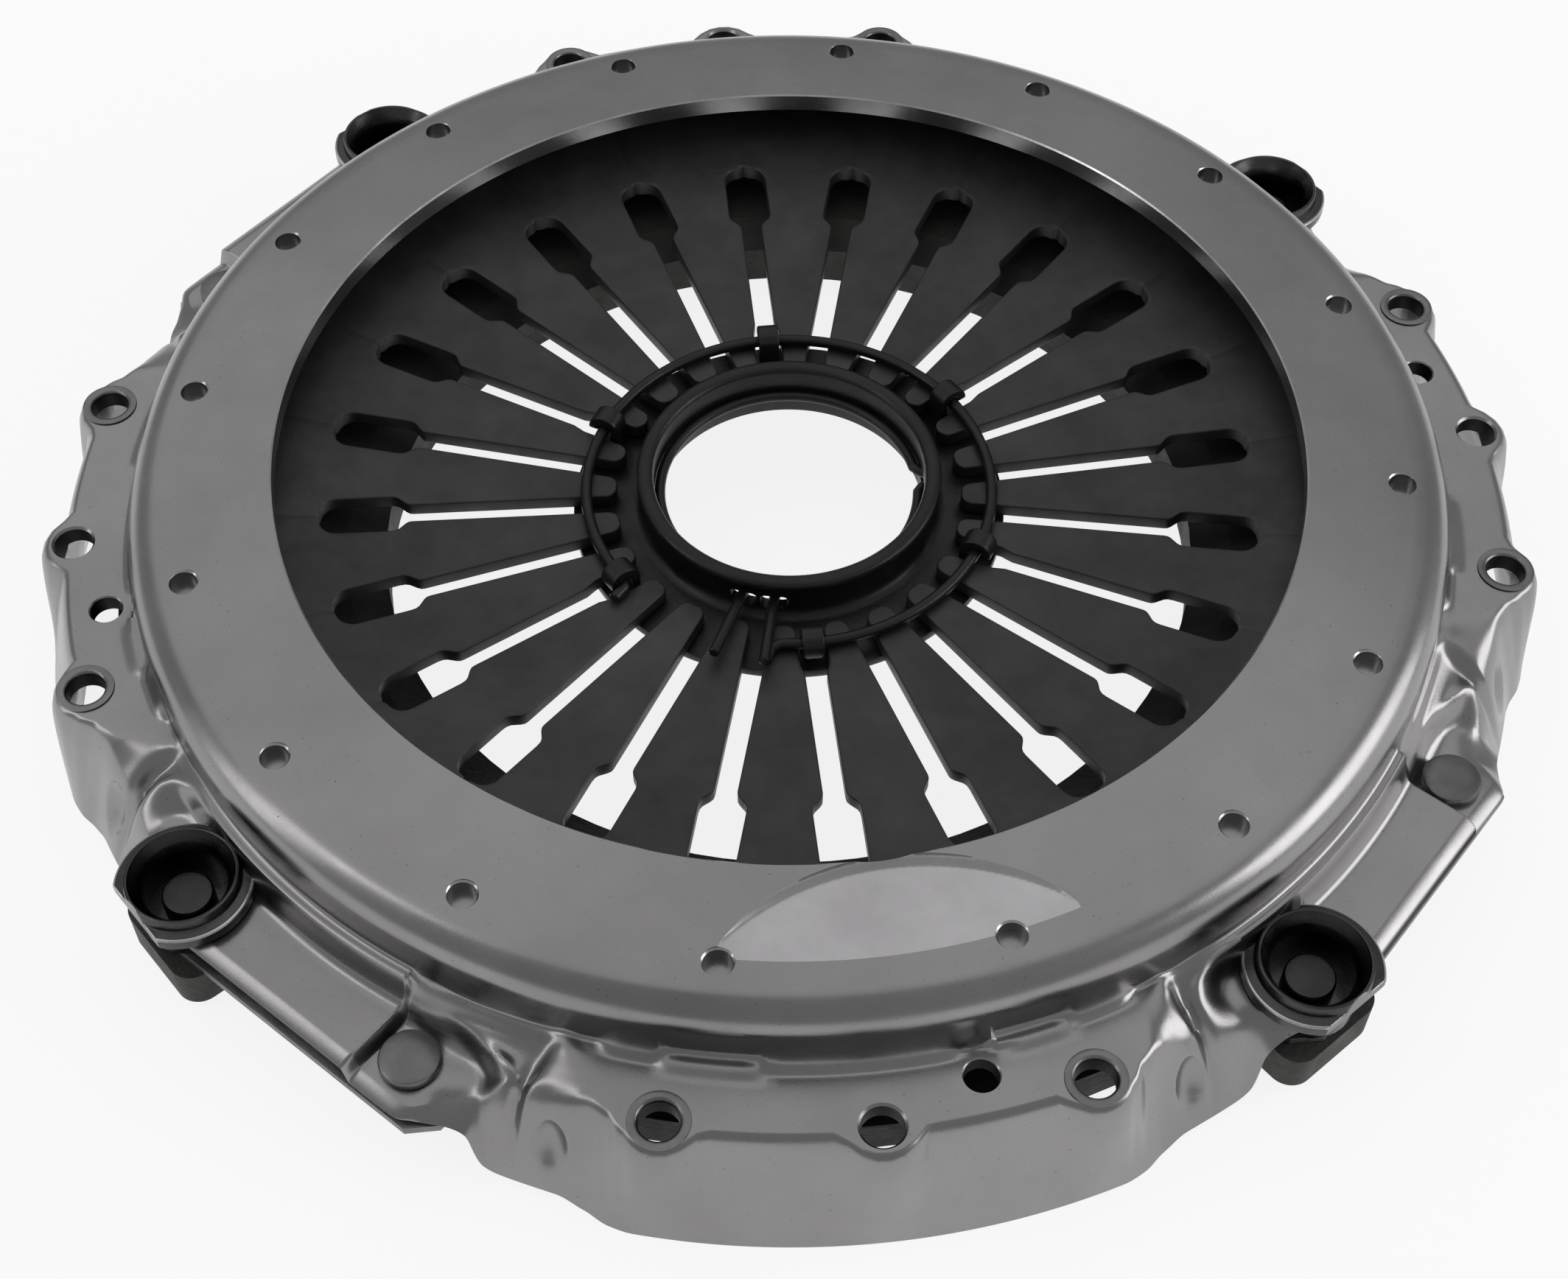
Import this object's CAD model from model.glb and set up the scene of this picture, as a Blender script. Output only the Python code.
"""Looks for a truck's clutch cover assembly: pressed cover, diaphragm spring, strap packs and thrust ring."""
import math

import bmesh
import bpy
import numpy as np
from mathutils import Matrix, Vector


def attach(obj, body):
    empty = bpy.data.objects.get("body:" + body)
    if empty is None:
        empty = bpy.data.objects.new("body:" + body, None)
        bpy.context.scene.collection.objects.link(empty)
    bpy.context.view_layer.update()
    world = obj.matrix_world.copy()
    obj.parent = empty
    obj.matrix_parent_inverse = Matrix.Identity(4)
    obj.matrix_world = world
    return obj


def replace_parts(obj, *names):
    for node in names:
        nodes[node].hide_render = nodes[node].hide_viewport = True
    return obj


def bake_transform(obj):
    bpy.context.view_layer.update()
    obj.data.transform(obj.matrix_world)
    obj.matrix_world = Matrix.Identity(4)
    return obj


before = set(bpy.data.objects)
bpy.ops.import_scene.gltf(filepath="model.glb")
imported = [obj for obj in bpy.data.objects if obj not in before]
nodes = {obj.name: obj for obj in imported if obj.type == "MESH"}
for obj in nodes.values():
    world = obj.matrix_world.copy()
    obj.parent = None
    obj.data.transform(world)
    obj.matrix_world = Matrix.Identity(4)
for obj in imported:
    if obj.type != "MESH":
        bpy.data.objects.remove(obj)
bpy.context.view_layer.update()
MM = 0.001
PADS = 4
FINGERS = 24

# Camera, solved from the nub circle and the bolt holes of the photograph
CAMERA_PLACE = (-58.490, -507.585, 615.891)
CAMERA_TURN = -6.42
CAMERA_TILT = 37.9712
CAMERA_ROLL = 0.27348
CAMERA_LENS = 55.2566

# Plain studio light: each softbox with its place, aim, size and watts
WORLD_LIGHT = 0.38
BACKDROP_TONE = 0.956
SOFTBOXES = (
    ("ceiling_softbox", (-0.2, 1.4, 1.9), (-0.2, 1.4, 0), (3.2, 3.6), 15),
    ("left_softbox", (-1.5, -0.1, 0.95), (0, 0, 0.04), (0.4, 1.7), 4),
    ("right_softbox", (1.6, -0.35, 0.7), (0, 0, 0.04), (1.1, 0.9), 9),
)
FLOOR_HALF = 20.0
FLOOR_TONE = 0.90
FLOOR_GLOW = 1.02
FLOOR_GLOW_SHARE = 0.84


def make_camera():
    data = bpy.data.cameras.new("photo_camera")
    data.lens = CAMERA_LENS
    data.sensor_width = 36
    data.sensor_fit = "HORIZONTAL"
    camera = bpy.data.objects.new("photo_camera", data)
    turn = Matrix.Rotation(math.radians(CAMERA_TURN), 4, "Z")
    tilt = Matrix.Rotation(math.radians(CAMERA_TILT), 4, "X")
    roll = Matrix.Rotation(math.radians(CAMERA_ROLL), 4, "Z")
    camera.matrix_world = Matrix.Translation(Vector(CAMERA_PLACE) * MM) @ turn @ tilt @ roll
    bpy.context.scene.collection.objects.link(camera)
    bpy.context.scene.camera = camera


def softbox(name, place, aim, size, watts):
    data = bpy.data.lights.new(name, "AREA")
    data.shape = "RECTANGLE"
    data.size, data.size_y = size
    data.energy = watts
    lamp = bpy.data.objects.new(name, data)
    lamp.location = place
    lamp.rotation_mode = "QUATERNION"
    lamp.rotation_quaternion = (Vector(aim) - Vector(place)).to_track_quat("-Z", "Y")
    bpy.context.scene.collection.objects.link(lamp)


def make_world():
    """Even light, with a pale backdrop where the camera sees past the floor."""
    world = bpy.data.worlds.new("studio")
    bpy.context.scene.world = world
    world.use_nodes = True
    tree = world.node_tree
    light = tree.nodes["Background"]
    light.inputs["Color"].default_value = (1.0, 1.0, 1.0, 1.0)
    light.inputs["Strength"].default_value = WORLD_LIGHT
    backdrop = tree.nodes.new("ShaderNodeBackground")
    backdrop.inputs["Color"].default_value = (BACKDROP_TONE, BACKDROP_TONE, BACKDROP_TONE, 1.0)
    choice = tree.nodes.new("ShaderNodeMixShader")
    tree.links.new(tree.nodes.new("ShaderNodeLightPath").outputs["Is Camera Ray"], choice.inputs["Fac"])
    tree.links.new(light.outputs[0], choice.inputs[1])
    tree.links.new(backdrop.outputs[0], choice.inputs[2])
    tree.links.new(choice.outputs[0], tree.nodes["World Output"].inputs["Surface"])


def floor_paper():
    """Pale paper that keeps the shadow and looks nearly white to camera, glossy and transmission rays."""
    paper = bpy.data.materials.new("pale_paper")
    paper.use_nodes = True
    tree = paper.node_tree
    body = tree.nodes["Principled BSDF"]
    body.inputs["Base Color"].default_value = (FLOOR_TONE, FLOOR_TONE, FLOOR_TONE, 1)
    body.inputs["Roughness"].default_value = 0.9
    glow = tree.nodes.new("ShaderNodeEmission")
    glow.inputs["Color"].default_value = (1.0, 1.0, 1.0, 1)
    glow.inputs["Strength"].default_value = FLOOR_GLOW
    rays = tree.nodes.new("ShaderNodeLightPath")
    seen = rays.outputs["Is Camera Ray"]
    for kind in ("Is Glossy Ray", "Is Transmission Ray"):
        either = tree.nodes.new("ShaderNodeMath")
        either.operation = "MAXIMUM"
        tree.links.new(seen, either.inputs[0])
        tree.links.new(rays.outputs[kind], either.inputs[1])
        seen = either.outputs[0]
    share = tree.nodes.new("ShaderNodeMath")
    share.operation = "MULTIPLY"
    share.inputs[1].default_value = FLOOR_GLOW_SHARE
    mix = tree.nodes.new("ShaderNodeMixShader")
    tree.links.new(seen, share.inputs[0])
    tree.links.new(share.outputs[0], mix.inputs["Fac"])
    tree.links.new(body.outputs[0], mix.inputs[1])
    tree.links.new(glow.outputs[0], mix.inputs[2])
    tree.links.new(mix.outputs[0], tree.nodes["Material Output"].inputs["Surface"])
    return paper


def make_studio():
    make_world()
    for name, place_at, aim, size, watts in SOFTBOXES:
        softbox(name, place_at, aim, size, watts)
    mesh = bpy.data.meshes.new("floor")
    shape = bmesh.new()
    bmesh.ops.create_grid(shape, x_segments=1, y_segments=1, size=FLOOR_HALF)
    shape.to_mesh(mesh)
    shape.free()
    floor = bpy.data.objects.new("floor", mesh)
    bpy.context.scene.collection.objects.link(floor)
    floor.location.z = -0.0002
    mesh.materials.append(floor_paper())
    bpy.context.scene.view_settings.view_transform = "Standard"


class Finish:
    """A material's node tree, with short calls for the nodes that it needs."""

    def __init__(self, name, color, roughness, metallic=1.0):
        self.material = bpy.data.materials.new(name)
        self.material.use_nodes = True
        self.tree = self.material.node_tree
        self.body = self.tree.nodes["Principled BSDF"]
        self.body.inputs["Base Color"].default_value = (*color, 1)
        self.body.inputs["Metallic"].default_value = metallic
        self.body.inputs["Roughness"].default_value = roughness
        self.place = self.tree.nodes.new("ShaderNodeTexCoord").outputs["Object"]

    def link(self, output, target):
        self.tree.links.new(output, target)

    def noise(self, scale, detail, rough):
        node = self.tree.nodes.new("ShaderNodeTexNoise")
        node.inputs["Scale"].default_value = scale
        node.inputs["Detail"].default_value = detail
        node.inputs["Roughness"].default_value = rough
        self.link(self.place, node.inputs["Vector"])
        return node.outputs["Fac"]

    def spread(self, value, low, high, to_low, to_high):
        node = self.tree.nodes.new("ShaderNodeMapRange")
        node.inputs["From Min"].default_value = low
        node.inputs["From Max"].default_value = high
        node.inputs["To Min"].default_value = to_low
        node.inputs["To Max"].default_value = to_high
        self.link(value, node.inputs["Value"])
        return node.outputs["Result"]

    def mix_color(self, share, first, second):
        node = self.tree.nodes.new("ShaderNodeMix")
        node.data_type = "RGBA"
        self.link(share, node.inputs["Factor"])
        for socket, color in ((node.inputs[6], first), (node.inputs[7], second)):
            if isinstance(color, tuple):
                socket.default_value = (*color, 1)
            else:
                self.link(color, socket)
        return node.outputs[2]

    def bump(self, height, strength, distance):
        node = self.tree.nodes.new("ShaderNodeBump")
        node.inputs["Strength"].default_value = strength
        node.inputs["Distance"].default_value = distance
        self.link(height, node.inputs["Height"])
        previous = self.body.inputs["Normal"]
        if previous.is_linked:
            self.link(previous.links[0].from_socket, node.inputs["Normal"])
        self.link(node.outputs["Normal"], self.body.inputs["Normal"])


def cover_finish():
    finish = Finish("cover_steel", (0.30, 0.29, 0.30), 0.32)
    clouds = finish.noise(9, 6, 0.62)
    clouds = finish.spread(clouds, 0.35, 0.68, 0, 1)
    tone = finish.mix_color(clouds, (0.25, 0.243, 0.247), (0.31, 0.302, 0.306))
    specks = finish.spread(finish.noise(1300, 2, 0.5), 0.70, 0.78, 0, 0.8)
    finish.link(finish.mix_color(specks, tone, (0.06, 0.055, 0.05)), finish.body.inputs["Base Color"])
    finish.link(finish.spread(finish.noise(30, 5, 0.7), 0.3, 0.7, 0.21, 0.33), finish.body.inputs["Roughness"])
    finish.bump(finish.noise(2200, 3, 0.6), 0.10, 0.0002)
    return finish.material


SPINDLE = (0.075, -0.262, 0.064)
CUTTER_LINES = 4200


def machined_finish():
    """Bright cut steel with fine arcs round the place of the milling cutter's spindle."""
    finish = Finish("machined_steel", (0.46, 0.45, 0.46), 0.26)
    away = finish.tree.nodes.new("ShaderNodeVectorMath")
    away.operation = "DISTANCE"
    away.inputs[1].default_value = SPINDLE
    finish.link(finish.place, away.inputs[0])
    turns = finish.tree.nodes.new("ShaderNodeMath")
    turns.operation = "MULTIPLY"
    turns.inputs[1].default_value = CUTTER_LINES
    finish.link(away.outputs["Value"], turns.inputs[0])
    wave = finish.tree.nodes.new("ShaderNodeMath")
    wave.operation = "SINE"
    finish.link(turns.outputs[0], wave.inputs[0])
    finish.bump(wave.outputs[0], 0.12, 0.00004)
    clouds = finish.spread(finish.noise(40, 5, 0.6), 0.3, 0.7, 0, 1)
    tone = finish.mix_color(clouds, (0.40, 0.39, 0.40), (0.50, 0.49, 0.50))
    finish.link(tone, finish.body.inputs["Base Color"])
    return finish.material


def plain_finish(name, color, roughness, grain, depth, metallic=1.0):
    """Steel with cloudy tone, uneven gloss and a fine grain."""
    finish = Finish(name, color, roughness, metallic)
    dark = tuple(c * 0.72 for c in color)
    light = tuple(min(1.0, c * 1.25) for c in color)
    clouds = finish.spread(finish.noise(28, 6, 0.65), 0.32, 0.7, 0, 1)
    finish.link(finish.mix_color(clouds, dark, light), finish.body.inputs["Base Color"])
    gloss = finish.spread(finish.noise(90, 4, 0.6), 0.3, 0.7, roughness - 0.08, roughness + 0.1)
    finish.link(gloss, finish.body.inputs["Roughness"])
    finish.bump(finish.noise(grain, 4, 0.6), 0.3, depth)
    return finish.material


def dress(node, material):
    mesh = nodes[node].data
    mesh.materials.clear()
    mesh.materials.append(material)


# The cover, in millimetres, with angles in degrees from the middle of a pad
OPENING_R = 159.5
SHEET = 6.0
SKIRT_WALL = 5.0
NUB_R = 189.2
CROWN_Z = 64.0
CROWN_SLOPE = 3.5 / (NUB_R - OPENING_R)
WALL_R = 205.0
BEND = 10.5
BEND_R = WALL_R - BEND
BEND_Z = CROWN_Z - (BEND_R - NUB_R) * CROWN_SLOPE - BEND / math.cos(math.atan(CROWN_SLOPE))
PAD_Z = 41.0
PLATFORM_Z = 31.0
SEAT_Z = 25.5
DENT = 0.6
BOLT_R = 225.0
SIDE_BOLTS = (-15, 15)
LOCATING = (215.0, 7.5)
SCALLOP = 12.0
PAD_EDGE = 230.0
STATION_EDGE = 232.0
STEP_R = 222.5
STEP_Y = 32.0
STEP_ANGLE = math.degrees(math.asin(STEP_Y / STEP_R)) - 45
QUARTER_COLUMNS = 240
# Dents in the wall's foot, and the long scoop in each corner's outer face
DENT_EDGES = ((-16.3, -15.5, -8.5, -7.7), (8.6, 9.4, 14.8, 15.6))
SCOOP_ANGLE, SCOOP_Z = 22.6, 20.5
SCOOP_WIDE, SCOOP_HIGH, SCOOP_DEPTH = 5.4, 9.5, 3.2


def glide(x, xs, ys):
    """Smooth curve through points, with no overshoot between them and level at its ends."""
    x, *lists = np.broadcast_arrays(x, *[np.asarray(v, float) for v in (*xs, *ys)])
    xs, ys = np.array(lists[:len(xs)]), np.array(lists[len(xs):])
    run = np.diff(xs, axis=0)
    slope = np.diff(ys, axis=0) / run
    tangent = np.zeros_like(ys)
    pair = slope[:-1] * slope[1:]
    total = slope[:-1] + slope[1:]
    tangent[1:-1] = np.where(pair > 0, 2 * pair / np.where(pair > 0, total, 1), 0)
    x = np.clip(x, xs[0], xs[-1])
    result = ys[0] + 0 * x
    for k in range(len(run)):
        t = (x - xs[k]) / run[k]
        value = (ys[k] * (1 + 2 * t) * (1 - t) ** 2 + ys[k + 1] * t * t * (3 - 2 * t)
                 + run[k] * (tangent[k] * t * (1 - t) ** 2 - tangent[k + 1] * t * t * (1 - t)))
        result = np.where((t >= 0) & (t <= 1), value, result)
    return result


def ramp(x, start, end):
    """Zero before start, one after end, and smooth between them."""
    t = np.clip((x - start) / (end - start), 0, 1)
    return t * t * (3 - 2 * t)


def soft_max(a, b, sharpness):
    return np.logaddexp(a * sharpness, b * sharpness) / sharpness


# Folds of a corner, one after the other away from the pad: the radii, then each fold's angles and heights
# at these radii. One table is for a pad's side with the sleeve, the other for its side with the rivet.
FOLD_R = (206, 209, 212, 216, 220, 225, 230)
SLEEVE_FOLDS = (
    ((21.0, 20.5, 20.2, 19.8, 19.3, 18.3, 17.2), (41.0, 41.0, 41.0, 41.0, 41.0, 41.0, 39.0)),
    ((22.0, 21.5, 21.2, 20.8, 20.3, 19.4, 18.6), (40.8, 40.8, 40.7, 40.5, 40.3, 39.6, 35.0)),
    ((22.9, 22.6, 22.4, 22.4, 22.3, 22.0, 21.6), (41.2, 40.8, 40.2, 39.0, 37.0, 32.5, 23.0)),
    ((23.5, 23.3, 23.2, 23.3, 23.5, 23.9, 24.2), (41.0, 40.4, 39.2, 37.6, 35.2, 28.5, 17.0)),
    ((24.3, 24.2, 24.2, 24.2, 24.4, 24.8, 25.4), (40.2, 37.6, 35.1, 32.7, 29.3, 22.6, 11.2)),
    ((29.0, 26.9, 25.5, 25.0, 25.0, 25.7, 26.6), (41.5, 39.6, 38.0, 36.0, 33.0, 27.3, 13.5)),
    ((31.0, 29.4, 28.4, 27.9, 28.0, 28.4, 29.2), (41.5, 38.0, 32.3, 31.0, 30.2, 27.5, 23.0)),
    ((34.0, 33.0, 32.0, 31.0, 31.0, 31.5, 32.0), (41.5, 37.8, 31.6, 31.0, 31.0, 30.6, 29.6)),
)
RIVET_FOLDS = (
    ((21.3, 20.6, 20.2, 19.8, 19.3, 18.3, 17.2), (41.0, 41.0, 41.0, 41.0, 41.0, 41.0, 39.0)),
    ((22.1, 21.5, 21.2, 20.8, 20.3, 19.4, 18.6), (40.8, 40.8, 40.7, 40.5, 40.3, 39.6, 35.0)),
    ((22.9, 22.6, 22.4, 22.6, 22.8, 22.5, 22.0), (41.2, 41.0, 40.4, 39.2, 37.6, 33.5, 24.0)),
    ((23.5, 23.3, 23.5, 24.0, 24.6, 25.1, 25.4), (41.0, 40.6, 39.4, 37.6, 35.2, 27.5, 16.0)),
    ((24.6, 24.6, 24.8, 25.0, 25.2, 25.7, 26.3), (40.0, 37.7, 35.4, 33.3, 30.5, 20.8, 9.8)),
    ((33.0, 31.6, 29.0, 27.1, 26.0, 26.6, 27.2), (38.6, 35.4, 34.8, 35.4, 33.8, 26.0, 12.5)),
    ((35.0, 34.2, 31.6, 29.6, 28.9, 29.0, 29.4), (38.6, 34.4, 28.6, 26.0, 25.6, 24.0, 20.0)),
    ((36.0, 35.5, 34.0, 32.5, 32.0, 32.0, 32.2), (38.6, 34.4, 28.2, 25.5, 25.5, 25.2, 24.4)),
)
# Cross-sections of a strap station: radii and heights, over the platform and over the rivet seat
PLATFORM_SECTION = ((204, 207.9, 208.7, 209.7, 210.8, 212.2, 214.0),
                    (41.6, 41.5, 40.3, 36.2, 32.9, 31.3, 31.0))
SEAT_SECTION = ((204, 206.5, 209.0, 210.6, 212.0, 213.6, 215.6), (40.6, 38.2, 34.6, 32.2, 28.0, 26.0, 25.5))


def corner_height(r, angle, folds):
    angles = [glide(r, FOLD_R, fold[0]) for fold in folds]
    heights = [glide(r, FOLD_R, fold[1]) for fold in folds]
    return glide(angle, angles, heights)


def step_share(r, off):
    """Zero over the platform and one over the rivet seat; off is the angle from the middle of the station."""
    across = r * np.sin(np.radians(off))
    return ramp(across, STEP_Y - 1.4, STEP_Y + 1.4)


def station_height(r, angle):
    """Height of a station's floor; angle runs from the pad before it, through 45, to the pad after."""
    platform = glide(r, *PLATFORM_SECTION)
    seat = glide(r, *SEAT_SECTION)
    return platform + (seat - platform) * step_share(r, angle - 45)


def lean(angle, r):
    """Angle of a column at a radius: beside the seat's step the columns run along it."""
    off = angle + 45
    across = STEP_R * np.sin(np.radians(off))
    straight = np.degrees(np.arcsin(np.clip(across / np.maximum(r, 200), -1, 1)))
    share = (1 - ramp(np.abs(angle - STEP_ANGLE), 1.2, 5.0)) * ramp(r, 206.0, 210.0)
    return angle + share * (straight - off)


def dented(angle):
    """One where the wall's foot is pressed in, on both sides of a pad's middle."""
    first, second = (ramp(angle, a, b) * (1 - ramp(angle, c, d)) for a, b, c, d in DENT_EDGES)
    return first + second


def pad_height(r, angle):
    """Flat pad, with the wall's curved foot, a low ledge in its dents and a flat round the locating hole."""
    foot = 12 * (1 - np.sqrt(1 - np.clip((209.9 - r) / 5.2, 0, 0.98) ** 2))
    ledge = 1.5 * (1 - ramp(r, 207.4, 213.0))
    dent = dented(angle)
    turn = np.radians(angle - LOCATING[1])
    away = np.sqrt(r ** 2 + LOCATING[0] ** 2 - 2 * r * LOCATING[0] * np.cos(turn))
    return PAD_Z + (foot * (1 - dent) + ledge * dent) * ramp(away, 8.6, 9.8)


def top_height(r, angle):
    """Height of the cover outside the wall, for angles from -45 to 45."""
    station = station_height(r, np.where(angle < 0, angle + 90, angle))
    pad = pad_height(r, angle)
    sleeve_side = corner_height(r, angle, SLEEVE_FOLDS)
    rivet_side = corner_height(r, -angle, RIVET_FOLDS)
    corner = np.where(angle > 0, sleeve_side, rivet_side)
    size = np.abs(angle)
    to_corner = ramp(size, 19.0, 21.0)
    to_station = np.where(angle > 0, ramp(size, 27.0, 31.0), ramp(size, 31.0, 35.0))
    fillet = 1.6 * (1 - np.sqrt(1 - np.clip((206.6 - r) / 1.6, 0, 1) ** 2))
    return (pad * (1 - to_corner) + corner * to_corner) * (1 - to_station) + station * to_station + fillet


def edge_radius(angle):
    """Radius at which the top turns down into the skirt."""
    edge = np.full_like(angle, PAD_EDGE)
    for bolt in (SIDE_BOLTS[0], 0, SIDE_BOLTS[1]):
        off = BOLT_R * np.sin(np.radians(angle - bolt))
        reach = BOLT_R * np.cos(np.radians(angle - bolt)) + np.sqrt(np.maximum(SCALLOP ** 2 - off ** 2, 0))
        bulge = soft_max(edge, np.where(np.abs(off) < SCALLOP, reach, 0), 0.9)
        edge = np.where(np.abs(angle - bolt) < 7, bulge, edge)
    size = np.abs(angle)
    straight = STATION_EDGE / np.cos(np.radians(45 - size))
    corner = glide(size, (17.2, 18.6, 20.5, 24.0, 27.5, 29.0, 31.5),
                   (233.0, 228.5, 226.0, 226.0, 227.5, 229.0, 233.0))
    edge = edge * (1 - ramp(size, 16.6, 18.0)) + corner * ramp(size, 16.6, 18.0)
    return edge * (1 - ramp(size, 30.5, 33.0)) + straight * ramp(size, 30.5, 33.0)


LOW_ANGLE = (16.5, 18.2, 20.0, 22.0, 26.2, 27.3, 27.8, 28.4, 29.6, 31.2, 33.0)
LOW_R = (239.4, 238.4, 235.8, 234.5, 234.3, 234.3, 233.8, 232.8, 233.2, 235.2, 237.6)
LOW_Z = (0, 0, 0.6, 3.5, 4.5, 6.5, 11.5, 19.5, 23.5, 26.5, 28.5)


def low_edge(angle):
    """Radius and height of the skirt's lower outer edge."""
    size = np.abs(angle)
    straight = (STATION_EDGE + 0.8) / np.cos(np.radians(45 - size))
    radius = glide(size, LOW_ANGLE, LOW_R)
    radius = radius * (1 - ramp(size, 32.0, 33.6)) + straight * ramp(size, 32.0, 33.6)
    height = glide(size, LOW_ANGLE, LOW_Z)
    drop = np.where(angle < 0, (PLATFORM_Z - SEAT_Z) * step_share(radius, angle + 45), 0)
    return radius, height - drop * ramp(size, 27.0, 31.5)


def scoop_depth(angle, z):
    """How far a corner's outer face is pressed in, in a long round dent."""
    off = (np.abs(angle) - SCOOP_ANGLE) * np.radians(1) * PAD_EDGE
    away = (off / SCOOP_WIDE) ** 2 + ((z - SCOOP_Z) / SCOOP_HIGH) ** 2
    return SCOOP_DEPTH * np.clip(1 - away, 0, 1)


FOOT_ROWS = (205.0, 205.05, 205.2, 205.4, 205.7, 206.0, 206.4, 206.8)
TOP_ROWS = (207.2, 207.7, 208.2, 208.8, 209.4, 209.9, 210.6, 211.4, 212.4, 213.5)
TOP_SHARES = (0.1, 0.2, 0.31, 0.42, 0.53, 0.64, 0.74, 0.83, 0.92, 1.0)
SKIRT_SHARES = [share / 22 for share in range(1, 23)]


def outer_section(angle):
    """Outer surface from the opening to the lower edge, as rows of radii and of heights."""
    same = np.ones_like(angle)
    rows = [(r * same, (CROWN_Z + (NUB_R - r) * CROWN_SLOPE) * same) for r in (160.0, 168, 177, 186, 192)]
    rows.insert(0, (OPENING_R * same, (CROWN_Z + (NUB_R - OPENING_R) * CROWN_SLOPE - 0.5) * same))
    inset = DENT * dented(angle)
    for turn in (84, 72, 60, 48, 36, 24, 12, 6, 0):
        turn = math.radians(turn)
        r = BEND_R + BEND * math.cos(turn) - inset * (turn == 0)
        rows.append((r, (BEND_Z + BEND * math.sin(turn)) * same))
    foot = top_height(FOOT_ROWS[0] * same, angle)
    rows.append((WALL_R - inset, (BEND_Z + foot) / 2))
    for r in FOOT_ROWS:
        pressed = inset * (FOOT_ROWS[-1] - r) / (FOOT_ROWS[-1] - FOOT_ROWS[0])
        rows.append((r - pressed, top_height(r * same, angle)))
    rows += [(r * same, top_height(r * same, lean(angle, r))) for r in TOP_ROWS]
    edge = edge_radius(lean(angle, STATION_EDGE))
    low_r, low_z = low_edge(lean(angle, STATION_EDGE))
    fillet = np.minimum(5.0, 0.8 * (low_r + 4 - edge))
    turn_r = edge - fillet
    for share in TOP_SHARES:
        r = TOP_ROWS[-1] + (turn_r - TOP_ROWS[-1]) * share
        rows.append((r, top_height(r, lean(angle, r))))
    turn_z = rows[-1][1]
    slope = (turn_z - rows[-2][1]) / (rows[-1][0] - rows[-2][0])
    depth = turn_z - low_z
    for share in SKIRT_SHARES:
        reach = np.minimum(fillet * 1.6, 0.5 * depth)
        r1, z1 = turn_r + reach * 0.55, turn_z + reach * 0.55 * slope
        r2, z2 = edge, turn_z - reach
        a, b, c, d = (1 - share) ** 3, 3 * share * (1 - share) ** 2, 3 * share ** 2 * (1 - share), share ** 3
        r, z = a * turn_r + b * r1 + c * r2 + d * low_r, a * turn_z + b * z1 + c * z2 + d * low_z
        rows.append((r - scoop_depth(angle, z), z))
    return np.array([row[0] for row in rows]), np.array([row[1] for row in rows])


def offset_section(radii, heights, wall, count):
    """Inner surface of the sheet: the section, smoothed, moved in by the wall and read back to front."""
    step = np.hypot(np.diff(radii), np.diff(heights))
    run = np.concatenate([[0], np.cumsum(step)])
    even = np.linspace(0, run[-1], 160)
    r, z = np.interp(even, run, radii), np.interp(even, run, heights)
    spacing = even[1]
    reach = int(12 / spacing)
    weights = np.exp(-0.5 * (np.arange(-reach, reach + 1) * spacing / 3.5) ** 2)
    weights /= weights.sum()

    def smooth(values):
        before = 2 * values[0] - values[reach:0:-1]
        after = 2 * values[-1] - values[-2:-reach - 2:-1]
        return np.convolve(np.concatenate([before, values, after]), weights, mode="valid")

    soft_r, soft_z = smooth(r), smooth(z)
    dr, dz = np.gradient(soft_r), np.gradient(soft_z)
    length = np.hypot(dr, dz)
    wall = np.interp(even, [run[-1] * 0.75, run[-1]], wall)
    inner_r, inner_z = soft_r + wall * dz / length, soft_z - wall * dr / length
    pick = np.linspace(len(even) - 1, 0, count).astype(int)
    return inner_r[pick], inner_z[pick]


def quarter_angles():
    """Columns from -45 to 45 degrees, close together where the sheet is folded."""
    fine = np.linspace(-45, 45, 3601)
    size = np.abs(fine)
    folds = ramp(size, 15.5, 17.5) * (1 - ramp(size, 32.0, 34.5)) + 0.4 * (size > 20.5) * (size < 28.5)
    at_step = np.abs(fine - STEP_ANGLE) < 0.55
    density = 1.1 + 3.0 * folds + 12 * at_step + 2.0 * dented(fine) * (1 - dented(fine)) * 4
    run = np.concatenate([[0], np.cumsum((density[1:] + density[:-1]) / 2)])
    return np.interp(np.linspace(0, run[-1], QUARTER_COLUMNS + 1), run, fine)


INNER_ROWS = 22


def cover_points():
    """Angles, radii and heights of a quarter's points, a row of them for each column of the grid."""
    angles = quarter_angles()
    outer_r, outer_z = outer_section(angles)
    size = np.abs(angles)
    share = ramp(size, 18.5, 20.0) * (1 - ramp(size, 34.0, 36.0))
    share *= 1 - ramp(-np.abs(angles - STEP_ANGLE), -2.0, -1.0)
    for _ in range(3):  # softens the corners' folds from column to column, but not the seat's step
        soft = (outer_z[:, :-2] + 2 * outer_z[:, 1:-1] + outer_z[:, 2:]) / 4
        outer_z[:, 1:-1] += (soft - outer_z[:, 1:-1]) * share[1:-1]
    columns = []
    for i in range(len(angles)):
        inner_r, inner_z = offset_section(outer_r[:, i], outer_z[:, i], (SHEET, SKIRT_WALL), INNER_ROWS)
        inner_z = np.maximum(inner_z, outer_z[-1, i])
        columns.append((np.concatenate([outer_r[:, i], inner_r]), np.concatenate([outer_z[:, i], inner_z])))
    radii, heights = (np.array([column[k] for column in columns]) for k in (0, 1))
    return lean(angles[:, None], radii), radii, heights


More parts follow.
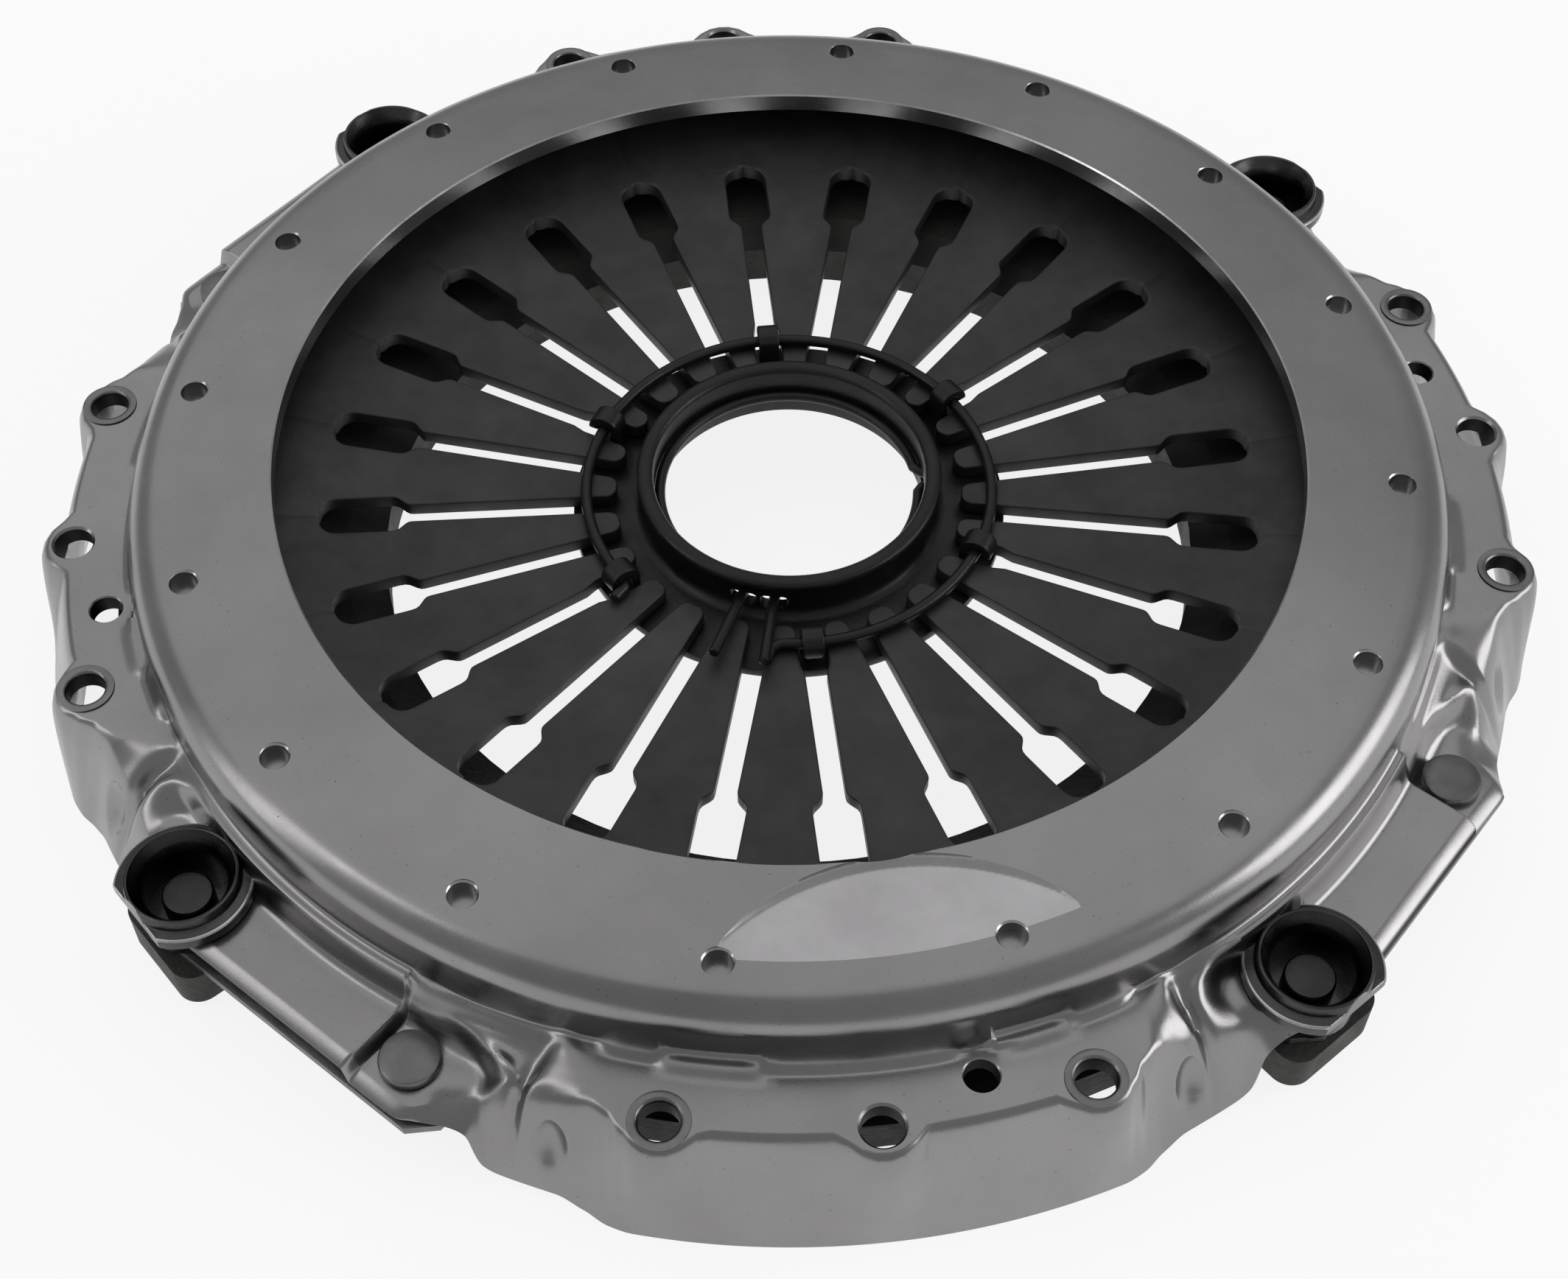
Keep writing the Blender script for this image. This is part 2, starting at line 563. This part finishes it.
def new_piece(name, shape, body, material, smooth_angle=35):
    mesh = bpy.data.meshes.new(name)
    shape.to_mesh(mesh)
    shape.free()
    piece = bpy.data.objects.new(name, mesh)
    bpy.context.scene.collection.objects.link(piece)
    mesh.materials.append(material)
    mesh.shade_smooth()
    mesh.set_sharp_from_angle(angle=math.radians(smooth_angle))
    if body:
        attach(piece, body)
    return piece


def turned(profile, steps):
    """A closed shape turned from an outline of (r, z) points, in millimetres."""
    shape = bmesh.new()
    points = [shape.verts.new((r * MM, 0, z * MM)) for r, z in profile]
    edges = [shape.edges.new((points[i - 1], points[i])) for i in range(len(points))]
    if profile[0][0] == 0 and profile[-1][0] == 0:
        shape.edges.remove(edges.pop(0))
    bmesh.ops.spin(shape, geom=points + edges, cent=(0, 0, 0), axis=(0, 0, 1), angle=2 * math.pi,
                   steps=steps, use_merge=True)
    bmesh.ops.remove_doubles(shape, verts=shape.verts, dist=1e-7)
    bmesh.ops.recalc_face_normals(shape, faces=shape.faces)
    return shape


def place(shape, x, y, turn=0.0, z=0.0):
    bmesh.ops.rotate(shape, verts=shape.verts, cent=(0, 0, 0), matrix=Matrix.Rotation(turn, 3, "Z"))
    bmesh.ops.translate(shape, verts=shape.verts, vec=(x * MM, y * MM, z * MM))
    return shape


def at(radius, degrees):
    return radius * math.cos(math.radians(degrees)), radius * math.sin(math.radians(degrees))


def gather(target, shape):
    """Adds a shape to another one."""
    mesh = bpy.data.meshes.new("gathered")
    shape.to_mesh(mesh)
    shape.free()
    target.from_mesh(mesh)
    bpy.data.meshes.remove(mesh)


def drill(holes, x, y, diameter, top, chamfer, bottom=-5.0, rim=0, wall=0):
    """Adds a straight cutter with a chamfer at the top's height; rim and wall are its finishes' numbers."""
    r, wide = diameter / 2, diameter / 2 + chamfer
    profile = [(0, bottom), (r, bottom), (r, top - chamfer), (wide, top), (wide, top + 8), (0, top + 8)]
    cutter = place(turned(profile, 40), x, y)
    for face in cutter.faces:
        if 0.1 < abs(face.normal.z) < 0.9:
            face.material_index = rim
        elif abs(face.normal.z) < 0.1:
            face.material_index = wall
    gather(holes, cutter)


def cut(piece, cutter_shape):
    """Cuts the shape out of the piece's mesh."""
    mesh = bpy.data.meshes.new("cutter")
    cutter_shape.to_mesh(mesh)
    cutter_shape.free()
    cutter = bpy.data.objects.new("cutter", mesh)
    bpy.context.scene.collection.objects.link(cutter)
    modifier = piece.modifiers.new("cut", "BOOLEAN")
    modifier.operation = "DIFFERENCE"
    modifier.solver = "MANIFOLD"
    modifier.object = cutter
    bpy.context.view_layer.update()
    evaluated = piece.evaluated_get(bpy.context.evaluated_depsgraph_get())
    result = bpy.data.meshes.new_from_object(evaluated)
    piece.modifiers.clear()
    piece.data = result
    bpy.data.objects.remove(cutter)


SLEEVE_AT = (225.0, 34.0)
RIVET_AT = (222.5, -34.0)
NUB_ANGLES = (-34, -12, 12, 34)
# Diameters of the cover's holes
NUB_D, BOLT_D, LOCATING_D, LINER_HOLE_D, SLEEVE_HOLE_D, STEM_D = 8.4, 12.1, 9.8, 15.1, 29.5, 10.1
NUB_DEPTH = 4.5
# Balance pocket: the place of its cutter, and the cutter's outline
POCKET_AT = (12, -236.5)
POCKET = [(0, 64.15), (74.6, 64.15), (75.6, 64.35), (76.5, 64.9), (77.3, 65.8), (77.9, 66.9), (78.6, 72),
          (0, 72)]
# Numbers of the cover's finishes, after its plain steel
MACHINED, BORE, EDGE = 1, 2, 3


def make_cover():
    angles, radii, heights = cover_points()
    rows = radii.shape[1]
    columns = PADS * QUARTER_COLUMNS
    shape = bmesh.new()
    bmesh.ops.create_grid(shape, x_segments=columns, y_segments=rows, size=1)
    for vert in shape.verts:
        column = round((vert.co.x + 1) / 2 * columns) % columns
        row = round((vert.co.y + 1) / 2 * rows) % rows
        pad, place_in_pad = divmod(column, QUARTER_COLUMNS)
        turn = math.radians(90 * pad + angles[place_in_pad, row])
        r, z = radii[place_in_pad, row] * MM, heights[place_in_pad, row] * MM
        vert.co = (r * math.cos(turn), r * math.sin(turn), z)
    bmesh.ops.remove_doubles(shape, verts=shape.verts, dist=1e-7)
    bmesh.ops.recalc_face_normals(shape, faces=shape.faces)
    cover = new_piece("cover_shell", shape, "cover_body", cover_steel)
    for finish in (machined_steel, bore_steel, edge_steel):
        cover.data.materials.append(finish)

    holes = bmesh.new()
    for pad in range(PADS):
        for nub in NUB_ANGLES:
            x, y = at(NUB_R, 90 * pad + nub)
            drill(holes, x, y, NUB_D, CROWN_Z + 0.1, 0.5, CROWN_Z - NUB_DEPTH, rim=MACHINED)
        x, y = at(BOLT_R, 90 * pad)
        drill(holes, x, y, BOLT_D, PAD_Z, 0.7, wall=BORE)
        x, y = at(LOCATING[0], 90 * pad + LOCATING[1])
        drill(holes, x, y, LOCATING_D, PAD_Z, 0.4, wall=BORE)
        for side in SIDE_BOLTS:
            x, y = at(BOLT_R, 90 * pad + side)
            drill(holes, x, y, LINER_HOLE_D, PAD_Z, 0.3)
        x, y = at(SLEEVE_AT[0], 90 * pad + SLEEVE_AT[1])
        drill(holes, x, y, SLEEVE_HOLE_D, PLATFORM_Z, 0.5)
        x, y = at(RIVET_AT[0], 90 * pad + RIVET_AT[1])
        drill(holes, x, y, STEM_D, SEAT_Z, 0.3)
    cut(cover, holes)
    balance = place(turned(POCKET, 200), *POCKET_AT)
    for face in balance.faces:
        face.material_index = MACHINED
    cut(cover, balance)
    for face in cover.data.polygons:
        if face.center.xy.length < (OPENING_R + 0.45) * MM and face.center.z > (CROWN_Z + 2.8) * MM:
            face.material_index = EDGE
    cover.data.shade_smooth()
    cover.data.set_sharp_from_angle(angle=math.radians(35))
    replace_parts(cover, "cover")


def bar_section(half, thick, edge, spans):
    """Points (across, up) round a flat bar's section, with rounded edges."""
    inner, up = half - edge, thick / 2 - edge
    points = [(inner * (2 * j / spans - 1), thick / 2) for j in range(spans + 1)]
    for turn in (60, 30, 0):
        points.append((inner + edge * math.cos(math.radians(turn)), up + edge * math.sin(math.radians(turn))))
    points += [(across, -height) for across, height in points[spans + 1:][::-1]]
    points += [(inner * (1 - 2 * j / spans), -thick / 2) for j in range(spans + 1)]
    points += [(-across, height) for across, height in points[spans + 1:spans + 7][::-1]]
    return points


def swept(rows):
    """Closed shape through sections of equally many points, in millimetres, with its two ends filled."""
    size, last = len(rows[0]), len(rows) - 1
    shape = bmesh.new()
    bmesh.ops.create_grid(shape, x_segments=size, y_segments=last, size=1)
    for vert in shape.verts:
        i, j = round((vert.co.x + 1) / 2 * size) % size, round((vert.co.y + 1) / 2 * last)
        vert.co = Vector(rows[j][i]) * MM
    bmesh.ops.remove_doubles(shape, verts=shape.verts, dist=1e-7)
    bmesh.ops.holes_fill(shape, edges=[edge for edge in shape.edges if edge.is_boundary], sides=0)
    bmesh.ops.recalc_face_normals(shape, faces=shape.faces)
    return shape


def rounded_path(corners, radius, spacing=1.0):
    """Points along straight runs between the corners, with an arc of the radius at each inner corner."""
    corners = [Vector(corner) for corner in corners]
    points = [corners[0]]
    for before, corner, after in zip(corners, corners[1:], corners[2:]):
        back, ahead = (before - corner).normalized(), (after - corner).normalized()
        half = back.angle(ahead) / 2
        reach = min(radius / math.tan(half), 0.49 * (before - corner).length, 0.49 * (after - corner).length)
        bend = reach * math.tan(half)
        middle = corner + (back + ahead).normalized() * bend / math.sin(half)
        start, end = corner + back * reach - middle, corner + ahead * reach - middle
        turns = max(3, round((math.pi - 2 * half) * bend / spacing))
        points += [middle + start.slerp(end, k / turns) for k in range(turns + 1)]
    return points + [corners[-1]]


def tube(path, radius, sides=18, edge=0.4):
    """Round wire along a path, with slightly rounded ends."""
    path = [Vector(point) for point in path]
    for a, b, place_at in ((0, 1, 1), (-1, -2, -1)):
        inward = (path[b] - path[a]).normalized()
        path.insert(place_at if place_at > 0 else len(path) - 1, path[a] + inward * edge)
    rows = []
    side = None
    for k, point in enumerate(path):
        along = (path[min(k + 1, len(path) - 1)] - path[max(k - 1, 0)]).normalized()
        side = along.orthogonal() if side is None else side - along * side.dot(along)
        side.normalize()
        up = along.cross(side)
        size = radius - edge if k in (0, len(path) - 1) else radius
        turns = [2 * math.pi * i / sides for i in range(sides)]
        rows.append([point + (side * math.cos(turn) + up * math.sin(turn)) * size for turn in turns])
    return swept(rows)


# The diaphragm spring: its top's radii and heights
TIP_R, TIP_Z = 55.0, 39.13
BELT_R, BELT_Z = 148.0, 44.03
RIM_R, RIM_Z = 198.2, 52.13
SPRING_T = 5.0
SLOT = 3.3
HOOK_SLOT = 4.3
PITCH = 360 / FINGERS
HALF_PITCH = math.radians(PITCH / 2)
TIP_ROUND = 3.2
SPRING_EDGE = 0.6
WIRE_R, WIRE_Z = 64.5, 41.73
# The spring bends between these radii when the plate lifts, and has room below for the plate's ridge
ROOM_R, ROOM = (167, 173, 179, 185, 191, 196), (0, 0.7, 0.9, 0.9, 0.4, 0)


def spring_height(r):
    """Height of the spring's top, with the fold at the belt rounded."""
    reach = 5.0
    spots = np.array([r - reach, r, r + reach])
    finger = BELT_Z + (spots - BELT_R) * (BELT_Z - TIP_Z) / (BELT_R - TIP_R)
    belt = BELT_Z + (spots - BELT_R) * (RIM_Z - BELT_Z) / (RIM_R - BELT_R)
    return float(np.mean(np.maximum(finger, belt)))


def keyhole_rows():
    """Distances along a slot and half widths there, from a finger's tip to the belt."""
    rows = [(s, SLOT) for s in np.arange(59.0, 119.0, 4.0)]
    rows += [(119.5, 3.3), (120.6, 3.5), (121.6, 4.2), (122.6, 5.2), (123.6, 6.2), (124.8, 6.8), (126.5, 7.0)]
    rows += [(s, 7.0) for s in (130.0, 134.0, 138.5)]
    corner = 5.5
    for turn in (0, 18, 36, 54, 70, 82, 90):
        turn = math.radians(turn)
        rows.append((143.0 + corner * math.sin(turn), 1.5 + corner * math.cos(turn)))
    return rows


def slot_half(s, half, hooked):
    return half + (HOOK_SLOT - SLOT) * float(1 - ramp(s, 71.0, 74.0)) if hooked else half


def finger_edge(s, half):
    """Radius and angle, from the finger's middle, of a slot's edge."""
    x = s * math.cos(HALF_PITCH) + half * math.sin(HALF_PITCH)
    y = s * math.sin(HALF_PITCH) - half * math.cos(HALF_PITCH)
    return math.hypot(x, y), math.atan2(y, x)


def spring_section(r, first, last, edge, thick):
    """One row across a sector, from angle first to angle last."""
    half = (last - first) / 2 * r
    room = float(np.interp(r, ROOM_R, ROOM))
    middle, height = (first + last) / 2, spring_height(r) - SPRING_T / 2 + room / 2
    points = []
    for across, up in bar_section(half, thick - room, edge, 12):
        turn = middle + across / r
        points.append((r * math.cos(turn), r * math.sin(turn), height + up))
    return points


def make_sector(index):
    """One finger of the spring with its share of the rim; hooked says on which sides a hook passes."""
    hooked = [(PITCH * (index + side)) % 60 == 30 for side in (0, 1)]
    rows = []
    for turn in (0, 14, 28, 42, 56, 70, 90):
        turn = math.radians(turn)
        s = TIP_R + TIP_ROUND * (1 - math.cos(turn))
        ends = [finger_edge(s, slot_half(s, SLOT, side)) for side in hooked]
        shrink = TIP_ROUND * (1 - math.sin(turn)) / TIP_R
        off = min(SPRING_EDGE, s - TIP_R)
        low = SPRING_EDGE - math.sqrt(SPRING_EDGE ** 2 - (SPRING_EDGE - off) ** 2)
        thick = SPRING_T - 2 * low
        rows.append(spring_section(s, shrink - ends[0][1], ends[1][1] - shrink, SPRING_EDGE, thick))
    for s, half in keyhole_rows():
        ends = [finger_edge(s, slot_half(s, half, side)) for side in hooked]
        r = (ends[0][0] + ends[1][0]) / 2
        rows.append(spring_section(r, -ends[0][1], ends[1][1], SPRING_EDGE, SPRING_T))
    for r in (149.4, 150.5, 152.5, 156.0, 161.0, 167.0, 173.0, 179.0, 185.0, 191.0, 196.0, RIM_R):
        rows.append(spring_section(r, -HALF_PITCH, HALF_PITCH, 0.05, SPRING_T))
    shape = swept(rows)
    middle = PITCH / 2 + PITCH * index
    place(shape, 0, 0, math.radians(middle))
    sector = new_piece("spring_sector_%02d" % index, shape, None, spring_steel, 40)
    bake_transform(sector)
    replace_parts(sector, "diaphragm_spring")


# One strap pack, in a frame with the station's middle along +X
STRAP_X = 219.6
STRAP_HALF = 13.0
STRAP_CLIP = 7.0
STRAP_TOP = 19.5
LEAF = 1.0
SLEEVE_SPOT = at(225.0, -11.0)
RIVET_SPOT = at(222.5, 11.0)
STRAP_LOW = SLEEVE_SPOT[1] - 15
STRAP_HIGH = RIVET_SPOT[1] + 17


def make_leaf(station, level):
    """A leaf with clipped corners; level counts down from the top leaf of the pack."""
    length = STRAP_HIGH - STRAP_LOW
    turn = 45 + 90 * station
    rows = []
    end = [0, 0.15] + list(np.linspace(1.2, STRAP_CLIP, 5))
    spots = end + list(np.linspace(9, length - 9, 22)) + [length - spot for spot in end[::-1]]
    for spot in spots:
        clip = max(0.0, STRAP_CLIP - min(spot, length - spot))
        ring = bar_section(STRAP_HALF - clip, LEAF - 0.04, 0.12, 6)
        middle = STRAP_TOP - (level + 0.5) * LEAF
        rows.append([(STRAP_X + across, STRAP_LOW + spot, middle + up) for across, up in ring])
    shape = swept(rows)
    place(shape, 0, 0, math.radians(turn))
    which = "%d_%s" % (station + 1, ("top", "middle", "bottom")[level])
    name = "strap_" + which
    leaf = new_piece("leaf_" + which, shape, None, strap_steel, 30)
    holes = bmesh.new()
    for spot in (SLEEVE_SPOT, RIVET_SPOT):
        x, y = at(math.hypot(*spot), math.degrees(math.atan2(spot[1], spot[0])) + turn)
        drill(holes, x, y, STEM_D, STRAP_TOP + 5, 0.3, STRAP_TOP - 8)
    cut(leaf, holes)
    leaf.data.set_sharp_from_angle(angle=math.radians(30))
    for spot in (RIVET_SPOT, SLEEVE_SPOT):
        inner = spot[1] - math.copysign(10, spot[1])
        x, y = at(math.hypot(STRAP_X, inner), math.degrees(math.atan2(inner, STRAP_X)) + turn)
    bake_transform(leaf)
    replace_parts(leaf, name)


def make_rivet(station):
    head = [(0, 28.5), (4.2, 28.5), (7.9, 28.42), (8.45, 28.15), (8.75, 27.6), (8.75, 25.52), (5.0, 25.5),
            (5.0, 16.5)]
    tail = [(7.0, 16.48), (7.0, 14.4), (6.6, 13.8), (5.8, 13.55), (0, 13.5)]
    shape = turned(head + tail, 72)
    x, y = at(RIVET_AT[0], 90 * (station + 1) + RIVET_AT[1])
    name = "cover_rivet_%d" % (station + 1)
    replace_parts(new_piece("rivet_%d" % (station + 1), place(shape, x, y), "cover_body",
                          rivet_steel, 30), name)


def make_liner(pad, side):
    outline = [(5.75, 35.1), (6.0, 35.0), (7.5, 35.0), (7.5, 40.98), (8.4, 41.02), (8.68, 41.25), (8.6, 41.5),
               (8.2, 41.6), (7.2, 41.6), (6.6, 41.5), (6.1, 41.2), (5.8, 40.7), (5.75, 40.0)]
    x, y = at(BOLT_R, 90 * pad + side)
    shape = place(turned(outline, 64), x, y)
    name = "liner_%d_%s" % (pad + 1, "a" if side < 0 else "b")
    liner = new_piece(name, shape, "cover_body", liner_steel, 30)
    liner.data.materials.append(bore_steel)
    for face in liner.data.polygons:
        if face.center.z < 40.6 * MM:
            face.material_index = 1
    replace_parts(liner, "bolt_liners")


SLEEVE_UNDER = 31.3
SLEEVE_FLAT = 16


def make_sleeve(pad):
    barrel = [(5.05, 19.52), (14.25, 19.52), (14.25, SLEEVE_UNDER)]
    flange = [(19.4, SLEEVE_UNDER), (19.95, 31.6), (20.0, 32.2), (20.0, 34.9), (19.75, 35.3), (19.3, 35.5)]
    rim = [(17.1, 35.5), (16.75, 35.62), (16.55, 36.0), (16.4, 38.4), (16.15, 38.95), (15.7, 39.1),
           (15.3, 38.95)]
    bore = [(14.9, 38.3), (14.2, 37.4), (14.05, 37.15), (13.2, 36.0), (13.05, 35.7), (12.3, 34.2),
            (12.05, 33.3), (12.0, 32.6), (12.0, 22.5), (5.05, 22.5)]
    shape = turned(barrel + flange + rim + bore, 128)
    for side in (-1, 1):
        geometry = shape.verts[:] + shape.edges[:] + shape.faces[:]
        bmesh.ops.bisect_plane(shape, geom=geometry, plane_co=(side * SLEEVE_FLAT * MM, 0, 0),
                               plane_no=(side, 0, 0), clear_outer=True)
        bmesh.ops.holes_fill(shape, edges=[edge for edge in shape.edges if edge.is_boundary], sides=0)
    bmesh.ops.recalc_face_normals(shape, faces=shape.faces)
    flats = [face for face in shape.faces if abs(face.calc_center_median().x) > (SLEEVE_FLAT - 0.01) * MM]
    borders = {edge for face in flats for edge in face.edges if edge.calc_face_angle() > 0.7}
    bmesh.ops.bevel(shape, geom=list(borders), offset=0.22 * MM, segments=1, profile=0.5, affect="EDGES",
                    material=1)
    for face in shape.faces:
        middle = face.calc_center_median()
        if middle.xy.length > 19.4 * MM and middle.z > 34.95 * MM:
            face.material_index = 1
    x, y = at(SLEEVE_AT[0], 90 * pad + SLEEVE_AT[1])
    shape = place(shape, x, y, math.radians(90 * pad + SLEEVE_AT[1]))
    piece = new_piece("sleeve_%d" % (pad + 1), shape, "plate_body", sleeve_steel, 25)
    piece.data.materials.append(edge_steel)
    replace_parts(piece, "stop_sleeve_%d" % (pad + 1))
    bolt = [(0, 29.5), (5.6, 29.5), (6.9, 29.3), (7.4, 28.7), (7.5, 28.0), (7.5, 22.53), (5.0, 22.53),
            (5.0, 3.3), (4.7, 3.0), (0, 3.0)]
    bolt = place(turned(bolt, 48), x, y)
    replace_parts(new_piece("bolt_%d" % (pad + 1), bolt, "plate_body", dark_steel, 30),
                "lug_bolt_%d" % (pad + 1))


# Centre parts
THRUST_LOW, THRUST_TOP = 30.33, 33.83
COLLAR_R, COLLAR_OUT = 43.0, 46.5
SNAP_R, SNAP_Z = 41.2, 39.13
WINDOWS = (0, 246, 258)
# The snap wire's two halves: the angle of the leg, the turn from there, and the angle of the tip's window
SNAP_RUNS = ((258, 97, 360), (246, -241, 0))
# The retaining wire's ends, and how far before them it starts to bend, in degrees
RETAINING_ENDS = (258, 575)
ELBOW = 3.6
HOOK_HALF, HOOK_T = 3.3, 3.0


def make_thrust_ring():
    lip = [(43.0, 47.6), (43.35, 48.6), (44.2, 49.3), (45.4, 49.53), (46.8, 49.4), (47.8, 48.9), (48.3, 48.0),
           (48.2, 46.9), (47.5, 46.1)]
    neck = [(46.8, 45.7), (46.5, 45.0), (46.5, 37.4), (46.8, 36.2), (47.6, 35.0), (48.8, 34.2),
            (50.2, THRUST_TOP)]
    flange = [(68.2, THRUST_TOP), (68.85, 33.6), (69.0, 33.1), (69.0, 31.0), (68.8, 30.5), (68.2, THRUST_LOW),
              (43.6, THRUST_LOW), (43.1, 30.6), (43.0, 31.0)]
    shape = turned(lip + neck + flange, 160)
    ring = new_piece("thrust_body", shape, "release_body", black_steel, 35)
    windows = bmesh.new()
    for angle in WINDOWS:
        window = bmesh.new()
        bmesh.ops.create_cube(window, size=MM)
        bmesh.ops.scale(window, verts=window.verts, vec=(12, 9, 5.4))
        along = [edge for edge in window.edges if abs((edge.verts[0].co - edge.verts[1].co).x) > 0.001]
        bmesh.ops.bevel(window, geom=along, offset=2.0 * MM, segments=5, profile=0.5, affect="EDGES",
                        material=-1)
        x, y = at((COLLAR_R + COLLAR_OUT) / 2, angle)
        gather(windows, place(window, x, y, math.radians(angle), SNAP_Z))
    cut(ring, windows)
    ring.data.shade_smooth()
    ring.data.set_sharp_from_angle(angle=math.radians(35))
    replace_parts(ring, "thrust_ring")
    for index in range(6):
        make_hook(30 + 60 * index)


def make_hook(angle):
    """A strip that rises from the thrust flange and curls over the retaining wire."""
    bend = 3.7
    path = [(WIRE_R - bend, z) for z in (31.0, 34.0, 37.0, 40.0)]
    for turn in range(0, 181, 15):
        turn = math.radians(180 - turn)
        path.append((WIRE_R + bend * math.cos(turn), WIRE_Z + bend * math.sin(turn)))
    path += [(WIRE_R + bend, WIRE_Z - 0.5), (WIRE_R + bend, WIRE_Z - 1.3)]
    rows = []
    for k, (r, z) in enumerate(path):
        nr, nz = (WIRE_R - r) / bend, (WIRE_Z - z) / bend
        if z < WIRE_Z:
            nr, nz = math.copysign(1, WIRE_R - r), 0.0
        short = (0.35, 0.9)[k - len(path) + 2] if k >= len(path) - 2 else 0.0
        ring = bar_section(HOOK_HALF - short, HOOK_T - short * 0.6, 0.45, 6)
        rows.append([(r - up * nr, across, z - up * nz) for across, up in ring])
    shape = place(swept(rows), 0, 0, math.radians(angle))
    hook = new_piece("hook_%03d" % angle, shape, "release_body", black_steel, 35)
    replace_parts(hook, "thrust_ring")


def arc(radius, z, first, last, step=2.0):
    count = max(2, round(abs(last - first) / step))
    angles = [first + (last - first) * k / count for k in range(count + 1)]
    return [(*at(radius, angle), z) for angle in angles]


def make_retaining_wire():
    """Wire on the fingers' tips, with both its ends bent outwards over the spring."""
    first, last = RETAINING_ENDS
    path = arc(WIRE_R, WIRE_Z, first + ELBOW, last - ELBOW)
    for angle, inward in ((first, ELBOW), (last, -ELBOW)):
        elbow = rounded_path([(*at(WIRE_R, angle + inward), WIRE_Z), (*at(WIRE_R + 0.3, angle), WIRE_Z),
                              (*at(WIRE_R + 7, angle), WIRE_Z + 0.2)], 3.2, 0.7)[1:]
        path = elbow[::-1] + path if inward > 0 else path + elbow
    wire = new_piece("retaining_ring_wire", tube(path, 1.8), "release_body", black_steel, 40)
    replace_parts(wire, "retaining_wire")


def make_snap_wire(number, leg, turn, tip):
    """Half of the snap wire, from its leg's angle round by turn degrees, and out at the angle of its tip."""
    way = math.copysign(1, turn)
    start, near, last = leg + 3 * way, leg + turn - 2.5 * way, leg + turn
    low, high = sorted((start, near))
    path = arc(SNAP_R, SNAP_Z, low, high)
    out = rounded_path([(*at(SNAP_R, start), SNAP_Z), (*at(SNAP_R + 0.2, leg), SNAP_Z),
                        (*at(49.5, leg), SNAP_Z + 0.8), (*at(74.5, leg), 45.3)], 2.6, 0.7)[1:]
    bend = rounded_path([(*at(SNAP_R, near), SNAP_Z), (*at(SNAP_R, last), SNAP_Z),
                         (*at(COLLAR_OUT + 0.6, tip), SNAP_Z)], 2.4, 0.7)[1:]
    path = out[::-1] + path + bend if way > 0 else bend[::-1] + path + out
    name = "snap_wire_%d" % number
    piece = new_piece(name, tube(path, 1.7), "release_body", black_steel, 40)
    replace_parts(piece, "snap_wire")


make_camera()
make_studio()

cover_steel = cover_finish()
machined_steel = machined_finish()
liner_steel = plain_finish("liner_steel", (0.19, 0.188, 0.19), 0.30, 900, 0.0002)
spring_steel = plain_finish("spring_steel", (0.045, 0.043, 0.045), 0.44, 1400, 0.0002, 0.6)
strap_steel = plain_finish("strap_steel", (0.20, 0.20, 0.205), 0.40, 1200, 0.0002)
dark_steel = plain_finish("dark_steel", (0.055, 0.054, 0.056), 0.33, 1000, 0.0003)
black_steel = plain_finish("black_steel", (0.014, 0.014, 0.013), 0.36, 900, 0.0003, 0.5)
cast_iron = plain_finish("cast_iron", (0.055, 0.053, 0.050), 0.62, 420, 0.0012, 0.5)
rivet_steel = plain_finish("rivet_steel", (0.17, 0.167, 0.167), 0.36, 1000, 0.0002)
bore_steel = plain_finish("bore_steel", (0.04, 0.04, 0.04), 0.55, 900, 0.0002)
edge_steel = plain_finish("edge_steel", (0.50, 0.49, 0.48), 0.24, 900, 0.0001)
sleeve_steel = plain_finish("sleeve_steel", (0.075, 0.072, 0.075), 0.26, 700, 0.0002)

dress("pivot_wire", spring_steel)
dress("pressure_plate", cast_iron)

make_cover()
for finger in range(FINGERS):
    make_sector(finger)
for quarter in range(PADS):
    for leaf_level in range(3):
        make_leaf(quarter, leaf_level)
    make_rivet(quarter)
    for bolt_side in SIDE_BOLTS:
        make_liner(quarter, bolt_side)
    make_sleeve(quarter)
make_thrust_ring()
make_retaining_wire()
for half_number, run in enumerate(SNAP_RUNS):
    make_snap_wire(half_number + 1, *run)
